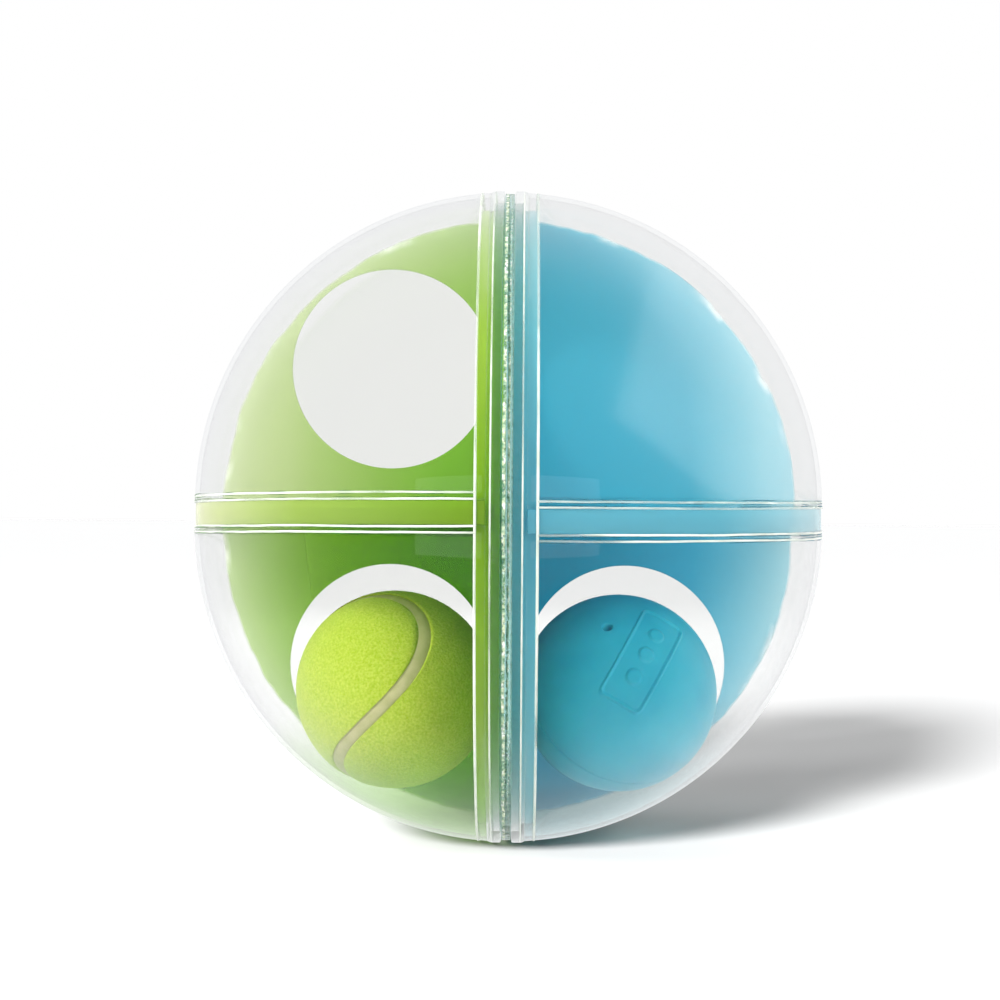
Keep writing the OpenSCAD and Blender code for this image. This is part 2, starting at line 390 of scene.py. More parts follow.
def tinted_plastic(name, body_stops, through_stops, weights, open_share, fade=None, shadow=(0.3, 0.3, 0.3)):
    """Tinted plastic: partly see-through, partly a soft body colour, under a glossy skin.

    The colours run with the distance from the object's centre, in parts of DOME_R, with x and z weighted.
    fade is the radius where a panel's tint runs out, as a wavy line with streaks of painted white highlight
    along it.
    """
    mat, nodes, links, out = material(name)
    coords = nodes.new("ShaderNodeTexCoord").outputs["Object"]
    parts = nodes.new("ShaderNodeSeparateXYZ")
    links.new(coords, parts.inputs["Vector"])
    sideways = math_node(nodes, links, "ABSOLUTE", parts.outputs["X"])
    rise = math_node(nodes, links, "ABSOLUTE", parts.outputs["Z"])

    def length(x_weight, z_weight, lift):
        legs = [math_node(nodes, links, "MULTIPLY", sideways, x_weight / DOME_R)]
        legs.append(math_node(nodes, links, "MULTIPLY_ADD", rise, z_weight / DOME_R))
        legs[1].node.inputs[2].default_value = -lift * z_weight / DOME_R
        squares = [math_node(nodes, links, "POWER", leg, 2.0) for leg in legs]
        return math_node(nodes, links, "SQRT", math_node(nodes, links, "ADD", *squares))

    cloud = noise_value(nodes, links, coords, 12, 3)
    drift = math_node(nodes, links, "MULTIPLY", math_node(nodes, links, "SUBTRACT", cloud, 0.5), 0.22)
    place = math_node(nodes, links, "ADD", length(*weights, 0), drift)
    bump, _ = noise_bump(nodes, links, 9, 0.1, 0.002, detail=3)
    skin = nodes.new("ShaderNodeBsdfPrincipled")
    skin.inputs["Roughness"].default_value = 0.25
    skin.inputs["Specular IOR Level"].default_value = 0.2
    body = ramp_node(nodes, links, place, body_stops)
    links.new(body, skin.inputs["Base Color"])
    links.new(bump.outputs["Normal"], skin.inputs["Normal"])
    glow = nodes.new("ShaderNodeBsdfTranslucent")
    links.new(body, glow.inputs["Color"])
    solid_part = mix_shader(nodes, links, 0.5, skin.outputs["BSDF"], glow.outputs["BSDF"])
    clear_part = nodes.new("ShaderNodeBsdfTransparent")
    links.new(ramp_node(nodes, links, place, through_stops), clear_part.inputs["Color"])
    shade = nodes.new("ShaderNodeLightPath").outputs["Is Shadow Ray"]
    open_part = mix_shader(nodes, links, shade, clear_part.outputs["BSDF"], see_through(nodes, shadow))
    surface = mix_shader(nodes, links, open_share, solid_part, open_part)
    gloss = nodes.new("ShaderNodeBsdfGlossy")
    gloss.inputs["Color"].default_value = WHITE_GLOSS
    gloss.inputs["Roughness"].default_value = 0.1
    mirror = facing_curve(nodes, links, 4, 0.035, 0.5)
    surface = mix_shader(nodes, links, mirror, surface, gloss.outputs["BSDF"])
    if fade:
        radius = math_node(nodes, links, "MULTIPLY", length(1, 1, BAND_HALF), DOME_R)
        ripple = noise_value(nodes, links, coords, 55, 4)
        ripple = math_node(nodes, links, "MULTIPLY", math_node(nodes, links, "SUBTRACT", ripple, 0.5), 4 * MM)
        edge = math_node(nodes, links, "ADD", radius, ripple)
        # Painted highlight: white streaks along the wavy edge of the tint.
        streaks = ranged(nodes, links, noise_value(nodes, links, coords, 38, 6), 0.52, 0.7)
        near_edge = ranged(nodes, links, edge, fade[0] - 2 * MM, fade[0] + 1 * MM)
        streaks = math_node(nodes, links, "MULTIPLY", streaks, near_edge)
        white = nodes.new("ShaderNodeBsdfDiffuse")
        white.inputs["Color"].default_value = (0.95, 0.96, 0.94, 1)
        surface = mix_shader(nodes, links, streaks, surface, white.outputs["BSDF"])
        surface = mix_shader(nodes, links, ranged(nodes, links, edge, *fade), surface,
                             see_through(nodes, (1, 1, 1)))
    links.new(surface, out.inputs["Surface"])
    return mat


def painted_edge_highlight(name, open_share, stretch):
    """A painted white highlight along a moulded edge, with breaks along it."""
    mat, nodes, links, out = material(name)
    coords = nodes.new("ShaderNodeTexCoord").outputs["Object"]
    bump, texture = noise_bump(nodes, links, 160, 0.2, 0.0004)
    tones = [(0.3, (0.76, 0.82, 0.7)), (0.7, (0.96, 0.97, 0.92))]
    ramp = ramp_node(nodes, links, texture.outputs["Fac"], tones)
    skin = nodes.new("ShaderNodeBsdfPrincipled")
    skin.inputs["Roughness"].default_value = 0.25
    links.new(ramp, skin.inputs["Base Color"])
    links.new(bump.outputs["Normal"], skin.inputs["Normal"])
    breaks = noise_value(nodes, links, coords, 60, 4, stretch)
    breaks = ranged(nodes, links, breaks, 0.42, 0.6, open_share, 0.8)
    surface = mix_shader(nodes, links, breaks, skin.outputs["BSDF"], see_through(nodes, EDGE_THROUGH))
    links.new(surface, out.inputs["Surface"])
    return mat


def dark_streak(name, colour):
    """The thin dark line beside a moulded edge, where it bends the light away; it comes and goes."""
    mat, nodes, links, out = material(name)
    coords = nodes.new("ShaderNodeTexCoord").outputs["Object"]
    bump, texture = noise_bump(nodes, links, 200, 0.2, 0.0004)
    ramp = ramp_node(nodes, links, texture.outputs["Fac"], [(0.3, colour), (0.7, [c * 1.8 for c in colour])])
    skin = nodes.new("ShaderNodeBsdfPrincipled")
    skin.inputs["Roughness"].default_value = 0.4
    links.new(ramp, skin.inputs["Base Color"])
    links.new(bump.outputs["Normal"], skin.inputs["Normal"])
    breaks = noise_value(nodes, links, coords, 48, 5)
    breaks = ranged(nodes, links, breaks, 0.44, 0.58, 0.98, 0.25)
    surface = mix_shader(nodes, links, breaks, skin.outputs["BSDF"], see_through(nodes, EDGE_THROUGH))
    links.new(surface, out.inputs["Surface"])
    return mat


def frosted(name):
    """Clear plastic at the joint, with a line of crumbs whose glints are partly painted into their colour and
    partly real gloss on their relief, and a fainter one beside it.
    """
    mat, nodes, links, out = material(name)
    coords = nodes.new("ShaderNodeTexCoord").outputs["Object"]
    parts = nodes.new("ShaderNodeSeparateXYZ")
    links.new(coords, parts.inputs["Vector"])
    crumbs = nodes.new("ShaderNodeTexVoronoi")
    crumbs.inputs["Scale"].default_value = 900
    links.new(coords, crumbs.inputs["Vector"])
    bump = nodes.new("ShaderNodeBump")
    bump.inputs["Strength"].default_value = 0.9
    bump.inputs["Distance"].default_value = 0.0006
    links.new(crumbs.outputs["Distance"], bump.inputs["Height"])
    patches = noise_value(nodes, links, coords, 420, 5)
    # The crumbs' colour runs from dark green to near white; the near-white patches are painted glints.
    painted_sparkle_tone = ramp_node(nodes, links, patches, [
        (0.34, (0.1, 0.22, 0.1)),
        (0.42, (0.32, 0.5, 0.34)),
        (0.54, (0.7, 0.76, 0.5)),
        (0.62, (0.98, 0.99, 0.94)),
    ])
    skin = nodes.new("ShaderNodeBsdfPrincipled")
    skin.inputs["Roughness"].default_value = 0.16
    links.new(painted_sparkle_tone, skin.inputs["Base Color"])
    links.new(bump.outputs["Normal"], skin.inputs["Normal"])
    wander = noise_value(nodes, links, coords, 60, 4)
    wander = math_node(nodes, links, "MULTIPLY", math_node(nodes, links, "SUBTRACT", wander, 0.5), 1.1 * MM)
    across = math_node(nodes, links, "ADD", parts.outputs["X"], wander)
    share = None
    for centre, width, strength in ((-0.7 * MM, 0.62 * MM, 0.85), (0.85 * MM, 0.35 * MM, 0.3)):
        off = math_node(nodes, links, "ABSOLUTE", math_node(nodes, links, "SUBTRACT", across, centre))
        line = ranged(nodes, links, off, width * 0.5, width, strength, 0.03)
        share = line if share is None else math_node(nodes, links, "MAXIMUM", share, line)
    grain = noise_value(nodes, links, coords, 700, 2)
    share = math_node(nodes, links, "MULTIPLY", share, ranged(nodes, links, grain, 0.38, 0.55, 0.15, 1.0))
    gloss = nodes.new("ShaderNodeBsdfGlossy")
    gloss.inputs["Color"].default_value = WHITE_GLOSS
    gloss.inputs["Roughness"].default_value = 0.1
    links.new(bump.outputs["Normal"], gloss.inputs["Normal"])
    mirror = facing_curve(nodes, links, 4, 0.03, 0.7)
    clear = mix_shader(nodes, links, mirror, see_through(nodes, (0.76, 0.88, 0.87)), gloss.outputs["BSDF"])
    links.new(mix_shader(nodes, links, share, clear, skin.outputs["BSDF"]), out.inputs["Surface"])
    return mat


def solid(name, dark, light, scale, roughness, bump_strength, bump_distance, sheen=0.0, sheen_tint=None,
          subsurface=0.0):
    """An opaque material whose colour and relief vary with noise."""
    mat, nodes, links, out = material(name)
    bump, texture = noise_bump(nodes, links, scale, bump_strength, bump_distance, detail=6)
    colour = ramp_node(nodes, links, texture.outputs["Fac"], [(0.32, dark), (0.68, light)])
    skin = nodes.new("ShaderNodeBsdfPrincipled")
    skin.inputs["Roughness"].default_value = roughness
    skin.inputs["Sheen Weight"].default_value = sheen
    skin.inputs["Subsurface Weight"].default_value = subsurface
    skin.inputs["Subsurface Scale"].default_value = 0.004
    if sheen_tint:
        skin.inputs["Sheen Tint"].default_value = (*sheen_tint, 1)
        skin.inputs["Sheen Roughness"].default_value = 0.5
    links.new(colour, skin.inputs["Base Color"])
    links.new(bump.outputs["Normal"], skin.inputs["Normal"])
    links.new(skin.outputs["BSDF"], out.inputs["Surface"])
    return mat


CLEAR = clear_plastic("clear_plastic", (0.968, 0.968, 0.966), (0.99, 0.99, 0.99), (0.024, 0.85), 0.03, 0.05)
# Colours of the painted tinted light low in the lower shells.
LOW_PAINTED_LIGHT = {GREEN: (0.78, 0.9, 0.66), BLUE: (0.80, 0.9, 0.91)}
LOW_CLEAR = {
    side: clear_plastic(f"{HALF[side]}_low_plastic", (0.968, 0.968, 0.966), (0.99, 0.99, 0.99),
                        (0.024, 0.8), 0.03, 0.05, painted_tint_light)
    for side, painted_tint_light in LOW_PAINTED_LIGHT.items()
}
COLLAR_CLEAR = clear_plastic("collar_plastic", (0.975, 0.98, 0.975), (0.96, 0.97, 0.965),
                             (0.03, 0.8), 0.05, 0.08)
# Painted white highlight lines for the shell ribs and the collar trims.
RIB_HIGHLIGHT = painted_edge_highlight("rib_painted_highlight", 0.04, (0.25, 0.25, 3.0))
EDGE_HIGHLIGHT = painted_edge_highlight("painted_edge_highlight", 0.25, (3.0, 0.3, 0.3))
FROST = frosted("frosted_joint")
STREAK = {
    GREEN: dark_streak("green_streak", (0.06, 0.17, 0.04)),
    BLUE: dark_streak("blue_streak", (0.02, 0.14, 0.2)),
}
PANEL_WEIGHTS = (1.0, 0.6)
PANEL_FADE = (99.2 * MM, 100.6 * MM)
# Panel colours run darker towards the centre and the seam, which is painted shade, and paler towards the rim.
# The lower panels' darker stops are painted shadow under the shelf.
PANEL_TINT_AND_SHADE = {
    (GREEN, "upper"): (
        [(0.2, (0.34, 0.6, 0.09)), (0.5, (0.54, 0.7, 0.25)),
         (0.7, (0.68, 0.78, 0.4)), (0.9, (0.73, 0.81, 0.46))],
        [(0.2, (0.50, 0.82, 0.12)), (0.5, (0.72, 0.9, 0.45)),
         (0.7, (0.85, 0.95, 0.66)), (0.9, (0.9, 0.97, 0.75))]),
    (GREEN, "lower"): (
        [(0.2, (0.13, 0.38, 0.01)), (0.55, (0.24, 0.48, 0.03)), (0.9, (0.58, 0.72, 0.3))],
        [(0.2, (0.32, 0.66, 0.02)), (0.55, (0.48, 0.77, 0.1)), (0.9, (0.8, 0.93, 0.6))]),
    (BLUE, "upper"): (
        [(0.2, (0.11, 0.58, 0.74)), (0.6, (0.14, 0.6, 0.75)), (0.85, (0.4, 0.8, 0.92))],
        [(0.2, (0.25, 0.76, 0.9)), (0.6, (0.3, 0.78, 0.9)), (0.85, (0.65, 0.92, 0.96))]),
    (BLUE, "lower"): (
        [(0.2, (0.015, 0.42, 0.6)), (0.6, (0.11, 0.58, 0.76)), (0.9, (0.4, 0.8, 0.9))],
        [(0.2, (0.12, 0.64, 0.78)), (0.6, (0.27, 0.77, 0.92)), (0.9, (0.65, 0.92, 0.96))]),
}
PANEL = {
    key: tinted_plastic(f"{HALF[key[0]]}_{key[1]}_tint", *tones, PANEL_WEIGHTS, 0.62, PANEL_FADE)
    for key, tones in PANEL_TINT_AND_SHADE.items()
}
SHELF = {
    GREEN: tinted_plastic(
        "green_shelf_tint",
        [(0.1, (0.40, 0.62, 0.05)), (0.6, (0.6, 0.75, 0.22)), (0.92, (0.88, 0.9, 0.62))],
        [(0.1, (0.6, 0.8, 0.12)), (0.6, (0.8, 0.88, 0.4)), (0.92, (0.97, 0.97, 0.85))],
        (1.0, 0.0), 0.5),
    BLUE: tinted_plastic(
        "blue_shelf_tint",
        [(0.1, (0.28, 0.74, 0.84)), (0.6, (0.34, 0.78, 0.87)), (0.92, (0.66, 0.88, 0.92))],
        [(0.1, (0.36, 0.78, 0.86)), (0.6, (0.45, 0.83, 0.9)), (0.92, (0.85, 0.94, 0.96))],
        (1.0, 0.0), 0.5),
}
WALL = {
    GREEN: tinted_plastic(
        "green_wall_tint",
        [(0.1, (0.44, 0.7, 0.01)), (0.55, (0.58, 0.78, 0.12)), (0.95, (0.78, 0.88, 0.5))],
        [(0.1, (0.5, 0.8, 0.02)), (0.55, (0.7, 0.88, 0.2)), (0.95, (0.9, 0.96, 0.7))],
        (0.3, 1.0), 0.3, shadow=(0.5, 0.75, 0.35)),
    BLUE: tinted_plastic(
        "blue_wall_tint",
        [(0.1, (0.22, 0.7, 0.82)), (0.55, (0.34, 0.8, 0.88)), (0.95, (0.62, 0.88, 0.92))],
        [(0.1, (0.32, 0.84, 0.93)), (0.55, (0.5, 0.89, 0.95)), (0.95, (0.84, 0.96, 0.98))],
        (0.3, 1.0), 0.3, shadow=(0.45, 0.7, 0.75)),
}
FELT = solid("tennis_felt", (0.34, 0.50, 0.01), (0.54, 0.65, 0.08), 1300, 0.95, 0.8, 0.0004,
             sheen=0.4, sheen_tint=(0.85, 1.0, 0.4), subsurface=0.1)
NAP = solid("felt_nap", (0.5, 0.67, 0.04), (0.78, 0.86, 0.24), 900, 0.95, 0.3, 0.0002)
SEAM_RUBBER = solid("seam_rubber", (0.45, 0.45, 0.2), (0.54, 0.52, 0.27), 260, 0.6, 0.3, 0.0003)
CORE_RUBBER = solid("core_rubber", (0.05, 0.045, 0.04), (0.08, 0.075, 0.07), 200, 0.7, 0.2, 0.0002)
BLUE_RUBBER = solid("blue_rubber", (0.012, 0.41, 0.55), (0.035, 0.47, 0.6), 60, 0.42, 0.12, 0.0003,
                    subsurface=0.25)
SQUEAKER = solid("squeaker_plastic", (0.7, 0.7, 0.68), (0.8, 0.8, 0.78), 150, 0.45, 0.1, 0.0002)


def finish_piece(obj, mat, body, slot_name, *nodes):
    """Gives a piece its material and its body, and hides the CAD nodes it stands for. slot_name is not used.
    """
    obj.data.materials.clear()
    obj.data.materials.append(mat)
    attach(obj, body)
    if nodes:
        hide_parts(*nodes)
    return obj


# ---------------------------------------------------------------- clear shells and collars

def quarter_dome(name):
    """The outside of a quarter shell at +X, +Z, about its own dome centre."""
    bm = bmesh.new()
    bmesh.ops.create_uvsphere(bm, u_segments=256, v_segments=128, radius=DOME_R)
    for point, normal in (((COLLAR_END, 0, 0), (-1, 0, 0)), ((0, 0, 0), (0, 0, -1))):
        bmesh.ops.bisect_plane(
            bm, geom=bm.verts[:] + bm.edges[:] + bm.faces[:], dist=1e-7,
            plane_co=point, plane_no=normal, clear_outer=True,
        )
    mesh = bpy.data.meshes.new(name)
    bm.to_mesh(mesh)
    bm.free()
    return mesh


def level_arc(radius, height, seed, steps=260):
    """Frames along a nearly level arc about Z, from the seam's bead in front to it behind, with a wobble."""
    reach = math.acos(WALL_RIM_END / radius)
    path = []
    for k in range(steps + 1):
        angle = reach * (2 * k / steps - 1)
        outward = (math.cos(angle), math.sin(angle), 0)
        wobble = 0.22 * MM * noise.noise(Vector((3.1 * angle, seed, 0.5)))
        wobble += 0.1 * MM * noise.noise(Vector((13.0 * angle, seed, 4.5)))
        path.append(((radius * outward[0], radius * outward[1], height + wobble), outward, (0, 0, 1)))
    return path


def edge_lines(name, lines, seed):
    """Moulded beads along a shell's band side, from (height, width) pairs."""
    meshes = []
    for row, (height, width) in enumerate(lines):
        radius = math.sqrt(DOME_R ** 2 - height ** 2)
        meshes.append(sweep(name, level_arc(radius, height, seed + row * 7.3), False, (width, width)))
    return meshes


RIB_LINES = ((0.4 * MM, 0.37 * MM), (EDGE_RIB_W - 0.1 * MM, 0.37 * MM))
STREAK_LINES = (
    (0.92 * MM, 0.17 * MM),
    (EDGE_RIB_W - 0.62 * MM, 0.12 * MM),
    (EDGE_RIB_W + 0.4 * MM, 0.16 * MM),
)


def stadium_loop(x, steps=120):
    """Frames round a half at one x: over the upper dome, down the band, and under the lower dome."""
    radius = math.sqrt(DOME_R ** 2 - x ** 2)
    path = []
    for centre, start in ((BAND_HALF, 0.0), (-BAND_HALF, math.pi)):
        for k in range(steps + 1):
            angle = start + math.pi * k / steps
            c, s = -math.cos(angle), math.sin(angle)
            tilt = Vector((x, radius * c, radius * s)).normalized()
            path.append(((x, radius * c, centre + radius * s), tilt, (1, 0, 0)))
    return path


def circle_loop(x, radius, steps=360):
    """Frames round a circle about X."""
    path = []
    for k in range(steps):
        angle = 2 * math.pi * k / steps
        outward = (0, math.cos(angle), math.sin(angle))
        path.append(((x, radius * outward[1], radius * outward[2]), outward, (1, 0, 0)))
    return path


for side, colour in HALF.items():
    for level, flip in (("upper", 1), ("lower", -1)):
        lift = Matrix.Diagonal((1, 1, flip, 1)) @ Matrix.Translation((0, 0, BAND_HALF))
        shell = new_object(f"{colour}_{level}_dome", quarter_dome("dome"), placed(side) @ lift)
        wall = shell.modifiers.new("wall", "SOLIDIFY")
        wall.thickness = SHELL_WALL
        wall.offset = -1
        smooth(shell)
        finish_piece(shell, CLEAR if level == "upper" else LOW_CLEAR[side], f"{colour}_half", "clear_shell",
                     f"{colour}_{level}_shell")
        # The rib beads carry painted white highlight lines; the streak beads carry the dark lines where the
        # edge bends the light away.
        for kind, lines, mat in (("ribs", RIB_LINES, RIB_HIGHLIGHT), ("streaks", STREAK_LINES, STREAK[side])):
            beads = edge_lines(kind, lines, side + 2.5 * flip)
            piece = joined(f"{colour}_{level}_shell_{kind}", beads, placed(side) @ lift)
            smooth(piece, 60)
            finish_piece(piece, mat, f"{colour}_half", "clear_shell", f"{colour}_{level}_shell")

    profile = rounded([
        (FLANGE_END, WALL_RIM_OUT), (FLANGE_END, COLLAR_BORE), (SEAM_FACE, COLLAR_BORE),
        (SEAM_FACE, COLLAR_R), (FLANGE_END, COLLAR_R), (COLLAR_END, COLLAR_SHOULDER),
        (COLLAR_END, WALL_RIM_OUT),
    ], 0.5 * MM)
    collar = new_object(f"{colour}_collar_ring", lathe_x("collar", profile), placed(side))
    smooth(collar)
    finish_piece(collar, COLLAR_CLEAR, f"{colour}_half", "clear_shell", f"{colour}_collar")
    # The trims carry painted white highlight lines along the collar's edges.
    trims = [
        sweep("trim", circle_loop(FLANGE_END - 0.3 * MM, COLLAR_R - 0.3 * MM), True, (0.26 * MM, 0.3 * MM)),
        sweep("trim", stadium_loop(WALL_RIM_END), True, (0.3 * MM, 0.46 * MM)),
    ]
    trim = joined(f"{colour}_collar_trim", trims, placed(side))
    smooth(trim, 60)
    finish_piece(trim, EDGE_HIGHLIGHT, f"{colour}_half", "clear_shell", f"{colour}_collar")


# ---------------------------------------------------------------- tinted dividers

UPRIGHT = Matrix.Rotation(math.radians(90), 4, "X")
SIDEWAYS = Matrix(((0, 0, 1, 0), (1, 0, 0, 0), (0, 1, 0, 0), (0, 0, 0, 1)))


def arc(centre, radius, start, end, steps):
    return [
        (centre[0] + radius * math.cos(start + (end - start) * k / steps),
         centre[1] + radius * math.sin(start + (end - start) * k / steps))
        for k in range(steps + 1)
    ]


def mid_panel(name, has_port):
    """A quarter panel in XZ, standing on the shelf and against the seam wall."""
    inner_x, floor_z = SEAM_FACE + WALL_T, PANEL_T / 2
    top = math.acos(inner_x / PANEL_R)
    low = math.asin((floor_z - BAND_HALF) / PANEL_R)
    outline = [(inner_x, floor_z)] + arc((0, BAND_HALF), PANEL_R, low, top, 140)
    holes = [(*PORT_AT, PORT_R)] if has_port else []
    mesh = plate(name, outline, holes, PANEL_T, 0.35 * MM)
    mesh.transform(UPRIGHT)
    return mesh


def seam_wall(name):
    """The pan at the seam: a disc with three ball passages, and a rim."""
    outline = arc((0, 0), WALL_RIM_OUT - 0.2 * MM, 0, 2 * math.pi * 359 / 360, 359)
    holes = [(y * PASSAGE_AT[0], z * PASSAGE_AT[1], PORT_R) for y, z in ((-1, 1), (1, 1), (1, -1))]
    disc = plate(name, outline, holes, WALL_T, 0.3 * MM)
    disc.transform(SIDEWAYS)
    disc.transform(Matrix.Translation((SEAM_FACE + WALL_T / 2, 0, 0)))
    rim = lathe_x(name, rounded([
        (SEAM_FACE, WALL_RIM_IN), (SEAM_FACE, WALL_RIM_OUT),
        (WALL_RIM_END, WALL_RIM_OUT), (WALL_RIM_END, WALL_RIM_IN),
    ], 0.4 * MM))
    return [disc, rim]


def shelf(name):
    """The level shelf, with the band round its edge."""
    inner_x, neck = SEAM_FACE + WALL_T, WALL_RIM_IN - 0.1 * MM
    step_x = WALL_RIM_END + 0.1 * MM
    turn = math.acos(step_x / SHELF_RIM_IN)
    outline = [(inner_x, -neck), (step_x, -neck)]
    outline += arc((0, 0), SHELF_RIM_IN + 0.3 * MM, -turn, turn, 200)
    outline += [(step_x, neck), (inner_x, neck)]
    deck = plate(name, outline, [], PANEL_T, 0.3 * MM)
    profile = rounded([
        (SHELF_RIM_IN, -BAND_HALF), (SHELF_RIM_OUT, -BAND_HALF),
        (SHELF_RIM_OUT, BAND_HALF), (SHELF_RIM_IN, BAND_HALF),
    ], 0.3 * MM)
    reach = math.acos(COLLAR_END / SHELF_RIM_IN)
    steps, n = 220, len(profile)
    verts = []
    for k in range(steps + 1):
        angle = reach * (2 * k / steps - 1)
        verts += [(r * math.cos(angle), r * math.sin(angle), z) for r, z in profile]
    faces = [
        (s * n + i, s * n + (i + 1) % n, (s + 1) * n + (i + 1) % n, (s + 1) * n + i)
        for s in range(steps)
        for i in range(n)
    ]
    faces += [tuple(range(n)), tuple(range(steps * n, (steps + 1) * n))]
    return [deck, mesh_from(name, verts, faces)]


for side, colour in HALF.items():
    for level, flip in (("upper", 1), ("lower", -1)):
        has_port = side == GREEN or level == "lower"
        turn = placed(side) @ Matrix.Diagonal((1, 1, flip, 1))
        panel = new_object(f"{colour}_{level}_divider", mid_panel("panel", has_port), turn)
        smooth(panel)
        finish_piece(panel, PANEL[side, level], f"{colour}_half", f"{colour}_tint", f"{colour}_{level}_panel")
    wall = joined(f"{colour}_seam_pan", seam_wall("wall"), placed(side))
    smooth(wall)
    finish_piece(wall, WALL[side], f"{colour}_half", f"{colour}_tint", f"{colour}_seam_wall")
    deck = joined(f"{colour}_shelf_deck", shelf("shelf"), placed(side))
    smooth(deck)
    finish_piece(deck, SHELF[side], f"{colour}_half", f"{colour}_tint", f"{colour}_shelf")


# ---------------------------------------------------------------- frosted seam ring

def rough_ring():
    """The joining ring, with the crumbly surface of a welded joint."""
    profile = rounded([
        (-RING_LEG_END, RING_LEG_IN), (-RING_LEG_END, RING_LEG_OUT), (-RING_HALF_W, RING_LEG_OUT),
        (-RING_HALF_W, RING_OUT), (-0.6 * RING_HALF_W, RING_OUT), (-0.2 * RING_HALF_W, RING_OUT),
        (0.2 * RING_HALF_W, RING_OUT), (0.6 * RING_HALF_W, RING_OUT), (RING_HALF_W, RING_OUT),
        (RING_HALF_W, RING_LEG_OUT), (RING_LEG_END, RING_LEG_OUT), (RING_LEG_END, RING_LEG_IN),
    ], 0.25 * MM, 2)
    mesh = lathe_x("ring", profile, 1080)
    for vert in mesh.vertices:
        radius = math.hypot(vert.co.y, vert.co.z)
        if radius > RING_OUT - 1.2 * MM:
            rough = noise.fractal(vert.co * 420, 1.0, 2.0, 4)
            drop = 0.55 * MM * abs(rough)
            scale = (radius - drop) / radius
            vert.co.y *= scale
            vert.co.z *= scale
    return mesh


ring = new_object("seam_joint", rough_ring())
smooth(ring, 50)
finish_piece(ring, FROST, "seam_ring", "frosted_ring", "seam_ring")


# ---------------------------------------------------------------- tennis ball

SEAM_B = 0.26
SEAM_A = 1 - SEAM_B
SEAM_TURN = Matrix.Rotation(math.radians(2), 4, "Z") @ Matrix.Rotation(math.radians(44), 4, "Y") \
    @ Matrix.Rotation(math.radians(17), 4, "X")
SEAM_W = 4.2 * MM
FELT_RINGS, FELT_STEPS = 46, 400
FELT_DEPTH = 2.9 * MM
FELT_EDGE_ROLL = 1.2 * MM
FELT_EDGE_DROP = 0.7 * MM
FELT_CLUMPS = 0.07 * MM
NAP_WIDTH = 0.05 * MM
NAP_COUNT = 14000
INSIDE_RINGS = 14


def seam_point(t):
    c = 2 * math.sqrt(SEAM_A * SEAM_B)
    return Vector((
        SEAM_A * math.cos(t) + SEAM_B * math.cos(3 * t),
        SEAM_A * math.sin(t) - SEAM_B * math.sin(3 * t),
        c * math.sin(2 * t),
    ))


def seam_edge(t, off):
    """A direction beside the seam, off metres across the ball's surface."""
    along = (seam_point(t + 0.01) - seam_point(t - 0.01)).normalized()
    across = along.cross(seam_point(t))
    return (seam_point(t) + across.normalized() * off / BALL_R).normalized()


def felt_height(direction):
    """How far the nap stands over the felt's mean surface here."""
    return FELT_CLUMPS * noise.fractal(direction * 30, 1.0, 2.1, 3)


def felt_panel(name, turn):
    """One felt panel, domed down to the seam at its edge, with its inside face against the core."""
    centre = Vector((0, 0, turn))
    edge = [seam_edge(turn * 2 * math.pi * i / FELT_STEPS, -turn * SEAM_W / 2) for i in range(FELT_STEPS)]
    verts, faces = [], []
    radii = []
    for ring in range(1, FELT_RINGS + 1):
        radii.append(("outer", ring / FELT_RINGS))
    for ring in range(INSIDE_RINGS, 0, -1):
        radii.append(("inner", ring / INSIDE_RINGS))
    verts.append(centre * (BALL_R + felt_height(centre)))
    for kind, part in radii:
        for far in edge:
            direction = centre.slerp(far, part) if part < 1 else far
            direction.normalize()
            gap = direction.angle(far) * BALL_R
            roll = max(0.0, 1 - gap / FELT_EDGE_ROLL)
            drop = FELT_EDGE_DROP * (1 - math.sqrt(max(0.0, 1 - roll * roll)))
            radius = BALL_R + felt_height(direction) * (1 - roll) - drop
            verts.append(direction * (radius if kind == "outer" else BALL_R - FELT_DEPTH))
    for i in range(FELT_STEPS):
        faces.append((0, 1 + i, 1 + (i + 1) % FELT_STEPS))
    for k in range(len(radii) - 1):
        base, above = 1 + k * FELT_STEPS, 1 + (k + 1) * FELT_STEPS
        for i in range(FELT_STEPS):
            j = (i + 1) % FELT_STEPS
            faces.append((base + i, above + i, above + j, base + j))
    last = 1 + (len(radii) - 1) * FELT_STEPS
    verts.append(centre * (BALL_R - FELT_DEPTH))
    faces += [(last + FELT_STEPS, last + (i + 1) % FELT_STEPS, last + i) for i in range(FELT_STEPS)]
    return mesh_from(name, verts, faces)


def seam_strip(name):
    """The rubber seam, a shallow channel between the panels."""
    half = SEAM_W / 2
    across = [(-1.2, 2.4), (-1.0, 0.62), (-0.55, 0.36), (0.0, 0.28), (0.55, 0.36), (1.0, 0.62), (1.2, 2.4)]
    n = len(across)
    verts = []
    for i in range(FELT_STEPS):
        t = 2 * math.pi * i / FELT_STEPS
        for off, depth in across:
            verts.append(seam_edge(t, off * half) * (BALL_R - depth * MM))
    faces = [
        (i * n + k, i * n + (k + 1) % n, (i + 1) % FELT_STEPS * n + (k + 1) % n, (i + 1) % FELT_STEPS * n + k)
        for i in range(FELT_STEPS)
        for k in range(n)
    ]
    return mesh_from(name, verts, faces)


